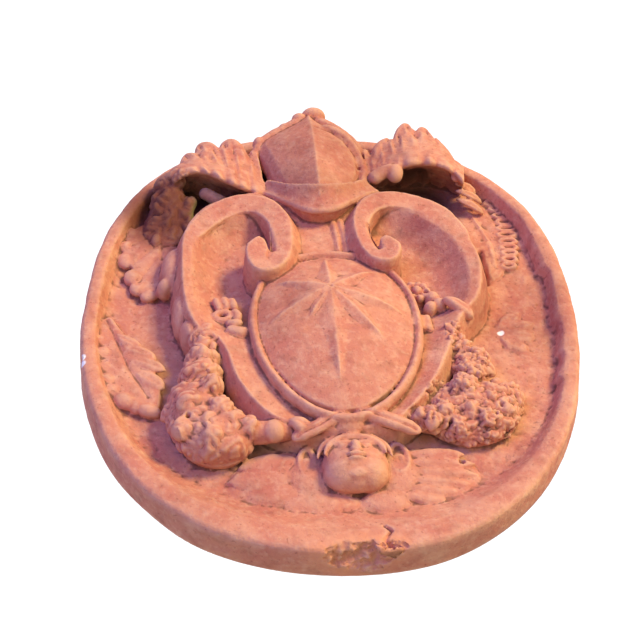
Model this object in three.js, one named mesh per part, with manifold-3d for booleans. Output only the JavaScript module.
// Oval terracotta wall plaque with a coat of arms in high relief, one moulded and fired piece.
// Drawing axes: x to the right, y up the wall, z out of the wall. All sizes are millimetres.
import * as THREE from "three";
import { mergeVertices } from "three/addons/utils/BufferGeometryUtils.js";
import Module from "manifold-3d";

const wasm = await Module();
wasm.setup();

const at = (x, y, z) => new THREE.Vector3(x, y, z);
const rad = THREE.MathUtils.degToRad;
const mix = THREE.MathUtils.lerp;

// Oval dish with a flat back. The oval stands a little askew to the arms.
const OVAL_HALF_WIDTH = 250;
const OVAL_HALF_HEIGHT = 300;
const OVAL_POWER = 2.32;
const OVAL_LEAN = rad(-5.2);
const OVAL_SEGMENTS = 60;
const RIM_HEIGHT = 36;
const RIM_WIDTH = 15;
const RIM_EXTRA_AT_FOOT = 10;
const RIM_ROUND = 4;
const RIM_SLOPE = 15;
const BACK_BEVEL = 4;
const FIELD_HEIGHT = 17;
const FIELD_CENTRE_HEIGHT = 15;

// Bite broken out of the rim at the foot.
const CHIP_CENTRE = at(8, -307, 36);
const CHIP_HALF = at(42, 22, 22);

// Scrolled frame round the shield.
const FRAME_HUB = at(-2, -10, 0);
const FRAME_FOOT = 8;
const FRAME_FLARE = 16;
const FLARE_KNEE = 0.6;
const LIP_POINTS = 42;
const LIP_WIDTH = 9;
const LIP_FALL = 2;
const BOWL_HEIGHT = 42;
const BOWL_INSET = 0.3;
const BAND_BASE = 26;
const BAND_SIDES = 7;
const BAND_STEPS = 2;
const BAND_ROUND = 0.55;

// Plain panel between the two scrolls, under the helmet.
const NECK_X = -4;
const NECK_WIDTH = 104;
const NECK_FOOT = 54;
const NECK_TOP = 148;
const NECK_HEIGHT = 62;

// Domed shield with a raised border.
const SHIELD_X = -6;
const SHIELD_Y = -50;
const SHIELD_HALF_WIDTH = 76;
const SHIELD_UP = 104;
const SHIELD_DOWN = 111;
const SHIELD_POWER = 2.3;
const SHIELD_SEGMENTS = 28;
const SHIELD_EDGE = 55;
const SHIELD_CROWN = 71;
const BORDER_SCALE = 1.075;
const BORDER_HALF = 4.5;
const BORDER_HEIGHT = 58;

// Star of ridged rays on the shield.
const STAR_X = -5;
const STAR_Y = -8;
const STAR_CROWN = 79;
const STAR_TIP = 66;
const LONG_RAY = 100;
const LONG_RAY_FALL = 6;
const RAY_HALF_WIDTH = 12;
const RAY_DEPTH = 26;
const RAY_WALL = 14;

// Closed helmet with a keel, a collar below and a knob on top.
const HELMET_KEEL = -5;
const HELMET_BASE = 30;
const COLLAR_THICK = 11;
const KNOB_CENTRE = at(-2, 284, 62);
const KNOB_HALF = at(9, 13, 10);

// Heights and thicknesses of the lower relief.
const FROND_SINK = 7;
const FROND_THICK = 10;
const FROND_ARCH = 5;
const BACKING_HEIGHT = 33;
const BACKING_THICK = 30;
const LEAF_HEIGHT = 19;
const RIB_THICK = 9;
const LOBE_THICK = 6;
const WING_X = 3;
const WING_HEIGHT = 23;
const FEATHER_THICK = 8;
const FEATHER_STEP = 0.8;

// Facets of the small lumps and petals.
const BLOB_AROUND = 6;
const BLOB_DOWN = 4;
const HEAD_AROUND = 10;
const HEAD_DOWN = 6;
const FROND_SIDES = 6;
const LEAF_SIDES = 4;

// Outer lip of the frame [x, y, height], anticlockwise from the foot.
const LIP = [
  [0, -172, 46],
  [48, -160, 48],
  [85, -118, 50],
  [106, -78, 51],
  [124, -36, 54],
  [148, -4, 58],
  [156, 40, 60],
  [148, 88, 60],
  [128, 126, 60],
  [100, 149, 60],
  [70, 156, 60],
  [38, 138, 58],
  [-4, 122, 56],
  [-44, 140, 58],
  [-72, 156, 60],
  [-104, 148, 60],
  [-132, 128, 60],
  [-149, 92, 60],
  [-152, 40, 60],
  [-149, -8, 58],
  [-137, -42, 55],
  [-114, -62, 52],
  [-99, -112, 50],
  [-72, -153, 49],
  [-36, -169, 47],
];

// Bands that arch over the frame and roll up into scrolls: [x, y, height, half width].
const BANDS = {
  leftArch: [
    [-146, 0, 59, 5],
    [-146, 50, 61, 6],
    [-138, 92, 62, 10],
    [-118, 122, 62, 12],
    [-90, 140, 63, 13],
    [-62, 136, 64, 13],
    [-41, 112, 66, 13],
    [-35, 82, 68, 12],
    [-42, 54, 69, 12],
  ],
  leftCurl: [
    [-40, 60, 68, 11],
    [-56, 42, 70, 11],
    [-74, 44, 71, 10],
    [-80, 64, 72, 8],
    [-72, 84, 74, 7],
    [-63, 76, 75, 5],
  ],
  rightArch: [
    [146, 4, 59, 6],
    [148, 50, 61, 7],
    [138, 92, 62, 10],
    [117, 124, 62, 12],
    [88, 142, 63, 12],
    [60, 140, 64, 12],
    [39, 118, 66, 12],
    [33, 88, 68, 12],
    [40, 62, 69, 11],
  ],
  rightCurl: [
    [37, 68, 68, 10],
    [52, 50, 70, 10],
    [66, 54, 71, 9],
    [71, 74, 72, 7],
    [62, 90, 74, 6],
    [55, 80, 75, 5],
  ],
};

// Star rays [direction in degrees, length]; the lower left one has lost its tip.
const RAYS = [
  [90, 62],
  [36, 62],
  [-21, 75],
  [-55, 81],
  [-90, 127],
  [-121, 52],
  [-149, 80],
  [159, 60],
];

// Helmet levels [height up the wall, left edge, right edge, keel height].
const HELMET_LEVELS = [
  [120, -34, 24, 84],
  [150, -54, 38, 89],
  [178, -62, 46, 91],
  [204, -69, 50, 90],
  [228, -73, 52, 86],
  [246, -64, 45, 80],
  [262, -48, 33, 75],
  [276, -27, 19, 71],
];

// Half section of the helmet from cheek to keel: [share of the way out, fall below the keel].
const HELMET_CHEEK = [
  [1, 30],
  [0.85, 17],
  [0.5, 7],
];

// Crescent collar [x, y, height, half width].
const COLLAR = [
  [-66, 158, 60, 6],
  [-46, 138, 68, 9],
  [-22, 120, 74, 11],
  [-4, 116, 75, 12],
  [14, 119, 74, 11],
  [36, 134, 68, 9],
  [58, 156, 60, 6],
];

// Acanthus fronds [lip x, y, height, tip x, y, height, half width] and the clay behind them
// [x, y, half length, half width, turn in degrees].
const LEFT_FRONDS = [
  [-86, 164, 70, -94, 258, 60, 19],
  [-110, 176, 75, -128, 253, 59, 20],
  [-136, 184, 74, -150, 228, 56, 18],
  [-150, 196, 64, -180, 180, 46, 17],
  [-164, 182, 54, -190, 132, 36, 16],
];
const LEFT_BACKING = [
  [-118, 214, 44, 26, 38],
  [-170, 172, 34, 16, 62],
];
const RIGHT_FRONDS = [
  [66, 178, 68, 62, 242, 58, 12],
  [78, 190, 72, 76, 254, 58, 14],
  [98, 192, 76, 104, 285, 58, 19],
  [122, 192, 76, 129, 277, 57, 18],
  [142, 188, 72, 143, 252, 56, 15],
  [146, 196, 62, 168, 168, 48, 13],
];
const RIGHT_BACKING = [[106, 226, 44, 28, -24]];

// Low leaves on the field, rib first, then lobes: [root x, y, tip x, y, half width].
const FIELD_LEAVES = [
  [
    [-180, 165, -176, 40, 20],
    [-184, 160, -212, 138, 12],
    [-184, 132, -216, 106, 13],
    [-180, 104, -206, 70, 13],
    [-176, 76, -190, 38, 12],
  ],
  [
    [-232, 12, -176, -120, 18],
    [-222, -20, -240, -44, 10],
    [-212, -52, -234, -84, 12],
    [-200, -82, -212, -108, 11],
    [-206, -40, -190, -52, 9],
    [-196, -64, -172, -92, 13],
  ],
  [
    [152, 196, 182, 66, 14],
    [158, 200, 196, 192, 10],
    [172, 184, 208, 172, 8],
    [178, 160, 212, 150, 8],
    [181, 138, 212, 126, 8],
    [184, 116, 208, 104, 8],
    [184, 96, 200, 76, 8],
  ],
  [
    [182, 30, 190, -98, 22],
    [196, 0, 234, -16, 12],
    [196, -34, 226, -52, 12],
    [194, -64, 206, -96, 12],
    [176, -28, 158, -52, 10],
  ],
];

// Fruit of the two swags [x, y, middle height, radius] on a bed [x, y, turn in degrees].
const LEFT_FRUIT = [
  [-132, -72, 44, 17],
  [-148, -92, 42, 16],
  [-122, -104, 50, 18],
  [-156, -116, 40, 17],
  [-112, -138, 52, 16],
  [-164, -144, 36, 14],
  [-144, -152, 48, 19],
  [-120, -162, 54, 18],
  [-128, -186, 46, 20],
  [-102, -178, 48, 17],
  [-84, -172, 48, 14],
  [-66, -166, 48, 15],
];
const LEFT_BED = [-122, -138, 30];
const RIGHT_FRUIT = [
  [136, -92, 34, 14],
  [156, -110, 34, 17],
  [118, -120, 50, 19],
  [160, -138, 36, 17],
  [138, -150, 48, 18],
  [158, -160, 38, 13],
  [114, -152, 52, 17],
  [92, -150, 50, 16],
  [72, -152, 48, 14],
  [124, -174, 44, 18],
  [102, -172, 46, 15],
  [116, -190, 36, 13],
];
const RIGHT_BED = [124, -146, -30];
const BED_HEIGHT = 30;
const BED_HALF = at(40, 52, 26);

// Lumps of the cherub's head [x, y, middle height, half sizes].
const HEAD = [3, -200, 34, 33, 34, 28];
const HEAD_LUMPS = [
  [3, -184, 36, 32, 22, 24],
  [3, -226, 44, 15, 11, 12],
  [-40, -202, 28, 13, 17, 14],
  [46, -202, 28, 13, 17, 14],
];
const NOSE = [at(4, -190, 62), at(4, -208, 63), 5, 4];

// Feathers of the right wing, mirrored for the left: [root x, y, tip x, y, half width].
const FEATHERS = [
  [36, -192, 96, -196, 17],
  [40, -210, 116, -212, 16],
  [36, -224, 110, -234, 15],
  [26, -234, 84, -252, 14],
  [8, -236, 38, -260, 16],
];

// Carved knots beside the shield [x, y, middle height, radius].
const KNOTS = [
  [-108, -8, 46, 10],
  [-102, -60, 48, 12],
  [88, -2, 46, 12],
  [84, -52, 48, 11],
];

// Curled ends of the frame at its foot [root x, tip x], and the tie between them.
const FOOT_CURLS = [
  [4, -40],
  [8, 58],
];
const FOOT_ROOT = at(0, -158, 50);
const FOOT_TIP = at(0, -176, 42);
const FOOT_HALF = 11;
const FOOT_THICK = 9;
const TIE_CENTRE = at(0, -164, 44);
const TIE_HALF = at(16, 10, 12);

// A closed solid from a geometry, turned outwards.
function solid(geometry) {
  const bare = geometry.clone();
  bare.deleteAttribute("normal");
  bare.deleteAttribute("uv");
  const merged = mergeVertices(bare, 1e-4);
  const build = (triVerts) =>
    new wasm.Manifold(
      new wasm.Mesh({
        numProp: 3,
        vertProperties: new Float32Array(merged.attributes.position.array),
        triVerts,
      }),
    );
  const faces = new Uint32Array(merged.index.array);
  const made = build(faces);
  return made.volume() < 0 ? build(faces.slice().reverse()) : made;
}

function union(solids) {
  return solids.reduce((sum, item) => sum.add(item));
}

// Skin over closed rings with the same number of points, each end drawn to one point.
function loft(rings, start, end) {
  const count = rings[0].length;
  const points = [start, ...rings.flat(), end];
  const last = points.length - 1;
  const top = rings.length - 1;
  const id = (level, k) => 1 + level * count + (k % count);
  const faces = [];
  for (let k = 0; k < count; k++) {
    faces.push(0, id(0, k + 1), id(0, k));
    for (let level = 0; level < top; level++) {
      faces.push(id(level, k), id(level, k + 1), id(level + 1, k));
      faces.push(id(level, k + 1), id(level + 1, k + 1), id(level + 1, k));
    }
    faces.push(id(top, k), id(top, k + 1), last);
  }
  return solid(new THREE.BufferGeometry().setFromPoints(points).setIndex(faces));
}

// Swept body: stations hold a point, a half width and a half thickness; the section is an oval.
function sweep(stations, sides) {
  const points = stations.map((station) => station.p);
  const last = points.length - 1;
  const rings = stations.map(({ p, half, thick }, i) => {
    const before = points[Math.max(0, i - 1)];
    const after = points[Math.min(last, i + 1)];
    const along = after.clone().sub(before).normalize();
    const side = at(0, 0, 1).cross(along).normalize();
    const out = along.clone().cross(side).normalize();
    return Array.from({ length: sides }, (_, k) => {
      const turn = Math.PI / 2 + (2 * Math.PI * k) / sides;
      const q = p.clone().addScaledVector(side, half * Math.cos(turn));
      return q.addScaledVector(out, thick * Math.sin(turn));
    });
  });
  return loft(rings, points[0].clone(), points[last].clone());
}

// Petal from root to tip, widest half way: a frond, a feather or a lobe of a leaf.
function petal(root, tip, half, thick, arch = 0, sides = LEAF_SIDES) {
  const widths = [
    [0, 0.55],
    [0.5, 1],
    [0.95, 0.35],
  ];
  const stations = widths.map(([t, share]) => {
    const p = root.clone().lerp(tip, t);
    p.z += arch * 4 * t * (1 - t);
    return { p, half: half * share, thick: (thick * (1 + share)) / 2 };
  });
  return sweep(stations, sides);
}

// Rounded lump, turned in the plane of the wall.
function blob(centre, half, turn = 0, around = BLOB_AROUND, down = BLOB_DOWN) {
  const ball = new THREE.SphereGeometry(1, around, down);
  ball.rotateX(Math.PI / 2);
  ball.scale(half.x, half.y, half.z);
  ball.rotateZ(rad(turn));
  ball.translate(centre.x, centre.y, centre.z);
  return solid(ball);
}

// Point on a superellipse with its own reach up and down.
function ovalPoint(turn, halfWidth, up, down, power) {
  const bow = (v) => Math.sign(v) * Math.abs(v) ** (2 / power);
  const rise = Math.sin(turn);
  return at(halfWidth * bow(Math.cos(turn)), (rise >= 0 ? up : down) * bow(rise), 0);
}

function ring(count, place) {
  return Array.from({ length: count }, (_, k) => place((2 * Math.PI * k) / count));
}

// Oval dish: flat back, rounded rim that widens towards the foot, sunken field.
function dish() {
  const edge = (inset, height, extra = 0) =>
    ring(OVAL_SEGMENTS, (turn) => {
      const p = ovalPoint(turn, OVAL_HALF_WIDTH, OVAL_HALF_HEIGHT, OVAL_HALF_HEIGHT, OVAL_POWER);
      const widen = extra * Math.max(0, -Math.sin(turn)) ** 2;
      p.multiplyScalar(1 - (inset + widen) / p.length());
      p.applyAxisAngle(at(0, 0, 1), OVAL_LEAN);
      return p.setZ(height);
    });
  const rings = [
    edge(BACK_BEVEL, 0),
    edge(0, BACK_BEVEL * 2),
    edge(0, RIM_HEIGHT - RIM_ROUND),
    edge(RIM_ROUND, RIM_HEIGHT),
    edge(RIM_WIDTH, RIM_HEIGHT - 1, RIM_EXTRA_AT_FOOT),
    edge(RIM_WIDTH + RIM_SLOPE, FIELD_HEIGHT, RIM_EXTRA_AT_FOOT),
  ];
  const plate = loft(rings, at(0, 0, 0), at(0, 0, FIELD_CENTRE_HEIGHT));
  return plate.subtract(blob(CHIP_CENTRE, CHIP_HALF));
}

// Body of the frame: flared outer wall, lip, and a bowl that sinks towards the shield.
function frameBody() {
  const path = new THREE.CatmullRomCurve3(LIP.map((p) => at(...p)), true);
  const lip = path.getPoints(LIP_POINTS).slice(0, -1);
  const spread = (distance, height) =>
    lip.map((p) => {
      const arm = p.clone().sub(FRAME_HUB).setZ(0);
      arm.setLength(arm.length() + distance);
      return arm.add(FRAME_HUB).setZ(height(p.z));
    });
  const bowl = lip.map((p) => p.clone().lerp(FRAME_HUB, BOWL_INSET).setZ(BOWL_HEIGHT));
  const rings = [
    spread(FRAME_FLARE, () => FRAME_FOOT),
    spread(FRAME_FLARE * FLARE_KNEE, (height) => height * FLARE_KNEE),
    spread(0, (height) => height),
    spread(-LIP_WIDTH, (height) => height - LIP_FALL),
    bowl,
  ];
  const foot = FRAME_HUB.clone().setZ(FRAME_FOOT);
  const floor = FRAME_HUB.clone().setZ(BOWL_HEIGHT - LIP_FALL);
  return loft(rings, foot, floor);
}

// Rounded band that stands on the frame and follows a curve of [x, y, height, half width].
function band(points) {
  const path = new THREE.CatmullRomCurve3(points.map(([x, y, height]) => at(x, y, height)));
  const spans = points.length - 1;
  const count = spans * BAND_STEPS;
  const rings = Array.from({ length: count + 1 }, (_, i) => {
    const t = i / count;
    const p = path.getPoint(t);
    const along = path.getTangent(t).setZ(0).normalize();
    const side = at(-along.y, along.x, 0);
    const slot = Math.min(spans - 1, Math.floor(t * spans));
    const half = mix(points[slot][3], points[slot + 1][3], t * spans - slot);
    return Array.from({ length: BAND_SIDES }, (_, k) => {
      const turn = (Math.PI * k) / (BAND_SIDES - 1);
      const wall = k === 0 || k === BAND_SIDES - 1;
      const fall = half * BAND_ROUND * (1 - Math.sin(turn) ** BAND_ROUND);
      const q = p.clone().addScaledVector(side, half * Math.cos(turn));
      return q.setZ(wall ? BAND_BASE : p.z - fall);
    });
  });
  const middle = (points) => points.reduce((sum, p) => sum.add(p), at(0, 0, 0)).divideScalar(BAND_SIDES);
  return loft(rings, middle(rings[0]), middle(rings[count]));
}

// Domed shield and the border round it.
function shield() {
  const outline = (scale, height) =>
    ring(SHIELD_SEGMENTS, (turn) => {
      const p = ovalPoint(turn, SHIELD_HALF_WIDTH, SHIELD_UP, SHIELD_DOWN, SHIELD_POWER);
      return p.multiplyScalar(scale).add(at(SHIELD_X, SHIELD_Y, height));
    });
  const centre = (height) => at(SHIELD_X, SHIELD_Y, height);
  const domeRings = [
    outline(1, FIELD_HEIGHT),
    outline(1, SHIELD_EDGE),
    outline(0.86, mix(SHIELD_EDGE, SHIELD_CROWN, 0.5)),
    outline(0.55, mix(SHIELD_EDGE, SHIELD_CROWN, 0.87)),
  ];
  const swell = BORDER_HALF / SHIELD_HALF_WIDTH;
  const borderRings = [
    outline(BORDER_SCALE + swell, FIELD_HEIGHT),
    outline(BORDER_SCALE + swell, BORDER_HEIGHT - BORDER_HALF),
    outline(BORDER_SCALE, BORDER_HEIGHT),
    outline(BORDER_SCALE - swell * 1.4, BORDER_HEIGHT - BORDER_HALF),
  ];
  const dome = loft(domeRings, centre(FIELD_HEIGHT), centre(SHIELD_CROWN));
  return dome.add(loft(borderRings, centre(FIELD_HEIGHT), centre(FIELD_HEIGHT + BORDER_HALF)));
}

// Star of ridged rays that meet in a low crown.
function star() {
  const base = STAR_CROWN - RAY_DEPTH;
  const rays = RAYS.map(([turn, length]) => {
    const spot = (share, side, height) =>
      at(length * share, side, 0)
        .applyAxisAngle(at(0, 0, 1), rad(turn))
        .add(at(STAR_X, STAR_Y, height));
    const section = (share, half, top) => [
      spot(share, -half, base),
      spot(share, -half, base + RAY_WALL),
      spot(share, 0, top),
      spot(share, half, base + RAY_WALL),
      spot(share, half, base),
    ];
    const rings = [
      section(0, RAY_HALF_WIDTH * 0.9, STAR_CROWN),
      section(0.3, RAY_HALF_WIDTH, STAR_CROWN - 1),
    ];
    const tip = STAR_TIP - (length > LONG_RAY ? LONG_RAY_FALL : 0);
    return loft(rings, at(STAR_X, STAR_Y, base), spot(1, 0, tip));
  });
  return union(rays);
}

// Closed helmet, its section a pointed arch.
function helmet() {
  const rings = HELMET_LEVELS.map(([y, left, right, keel]) => {
    const cheek = (edge) =>
      HELMET_CHEEK.map(([share, fall]) => at(mix(HELMET_KEEL, edge, share), y, keel - fall));
    return [
      at(left, y, HELMET_BASE),
      ...cheek(left),
      at(HELMET_KEEL, y, keel),
      ...cheek(right).reverse(),
      at(right, y, HELMET_BASE),
    ];
  });
  const [lowest] = HELMET_LEVELS[0];
  const [highest] = HELMET_LEVELS[HELMET_LEVELS.length - 1];
  return loft(rings, at(HELMET_KEEL, lowest, HELMET_BASE), at(HELMET_KEEL, highest, HELMET_BASE * 2));
}

function collar() {
  const stations = COLLAR.map(([x, y, z, half]) => ({ p: at(x, y, z), half, thick: COLLAR_THICK }));
  return sweep(stations, FROND_SIDES);
}

// Acanthus spray: fronds that fan out from a hood over a hollow.
function spray(fronds, backings) {
  const leaves = fronds.map(([x, y, z, tipX, tipY, tipZ, half]) => {
    const root = at(x, y, z - FROND_SINK);
    const tip = at(tipX, tipY, tipZ - FROND_SINK);
    return petal(root, tip, half, FROND_THICK, FROND_ARCH, FROND_SIDES);
  });
  const lumps = backings.map(([x, y, halfLength, halfWidth, turn]) =>
    blob(at(x, y, BACKING_HEIGHT), at(halfLength, halfWidth, BACKING_THICK), turn),
  );
  return union([...leaves, ...lumps]);
}

// Low leaf on the field: a rib with lobes to its sides.
function fieldLeaf(blades) {
  const parts = blades.map(([x, y, tipX, tipY, half], i) => {
    const thick = i === 0 ? RIB_THICK : LOBE_THICK;
    return petal(at(x, y, LEAF_HEIGHT), at(tipX, tipY, LEAF_HEIGHT - 2), half, thick, 3);
  });
  return union(parts);
}

// Swag: round fruit heaped on a bed of clay.
function swag(fruit, [bedX, bedY, bedTurn]) {
  const lumps = fruit.map(([x, y, z, radius], i) => blob(at(x, y, z), at(radius, radius, radius), i * 37));
  return union([...lumps, blob(at(bedX, bedY, BED_HEIGHT), BED_HALF, bedTurn)]);
}

// Winged head at the foot.
function cherub() {
  const lump = ([x, y, z, halfX, halfY, halfZ], ...facets) =>
    blob(at(x, y, z), at(halfX, halfY, halfZ), 0, ...facets);
  return union([lump(HEAD, HEAD_AROUND, HEAD_DOWN), ...HEAD_LUMPS.map((l) => lump(l)), petal(...NOSE)]);
}

function wing(side) {
  const feathers = FEATHERS.map(([x, y, tipX, tipY, half], row) => {
    const height = WING_HEIGHT - row * FEATHER_STEP;
    const root = at(WING_X + side * x, y, height);
    const tip = at(WING_X + side * tipX, tipY, height - 2);
    return petal(root, tip, half, FEATHER_THICK, 4);
  });
  return union(feathers);
}

function knots() {
  return union(KNOTS.map(([x, y, z, radius]) => blob(at(x, y, z), at(radius, radius, radius))));
}

function footCurls() {
  const curls = FOOT_CURLS.map(([rootX, tipX]) =>
    petal(FOOT_ROOT.clone().setX(rootX), FOOT_TIP.clone().setX(tipX), FOOT_HALF, FOOT_THICK, 3),
  );
  return union([...curls, blob(TIE_CENTRE, TIE_HALF)]);
}

function neck() {
  const panel = new THREE.BoxGeometry(NECK_WIDTH, NECK_TOP - NECK_FOOT, NECK_HEIGHT - FIELD_HEIGHT);
  panel.translate(NECK_X, (NECK_TOP + NECK_FOOT) / 2, (NECK_HEIGHT + FIELD_HEIGHT) / 2);
  return solid(panel);
}

const whole = union([
  dish(),
  frameBody(),
  ...Object.values(BANDS).map(band),
  shield(),
  star(),
  neck(),
  helmet(),
  collar(),
  blob(KNOB_CENTRE, KNOB_HALF),
  spray(LEFT_FRONDS, LEFT_BACKING),
  spray(RIGHT_FRONDS, RIGHT_BACKING),
  ...FIELD_LEAVES.map(fieldLeaf),
  swag(LEFT_FRUIT, LEFT_BED),
  swag(RIGHT_FRUIT, RIGHT_BED),
  cherub(),
  wing(1),
  wing(-1),
  knots(),
  footCurls(),
]);

const carved = whole.getMesh();
const geometry = new THREE.BufferGeometry()
  .setAttribute("position", new THREE.BufferAttribute(carved.vertProperties, 3))
  .setIndex(new THREE.BufferAttribute(carved.triVerts, 1));
const terracotta = new THREE.MeshStandardMaterial({ color: "#d98a66", roughness: 0.9, metalness: 0 });
const plaque = new THREE.Mesh(geometry, terracotta);
plaque.name = "terracotta_plaque";

// The drawing is turned upright: its y axis points up the wall and its front faces -Y.
const group = new THREE.Group();
group.rotation.x = Math.PI / 2;
group.add(plaque);

export default group;
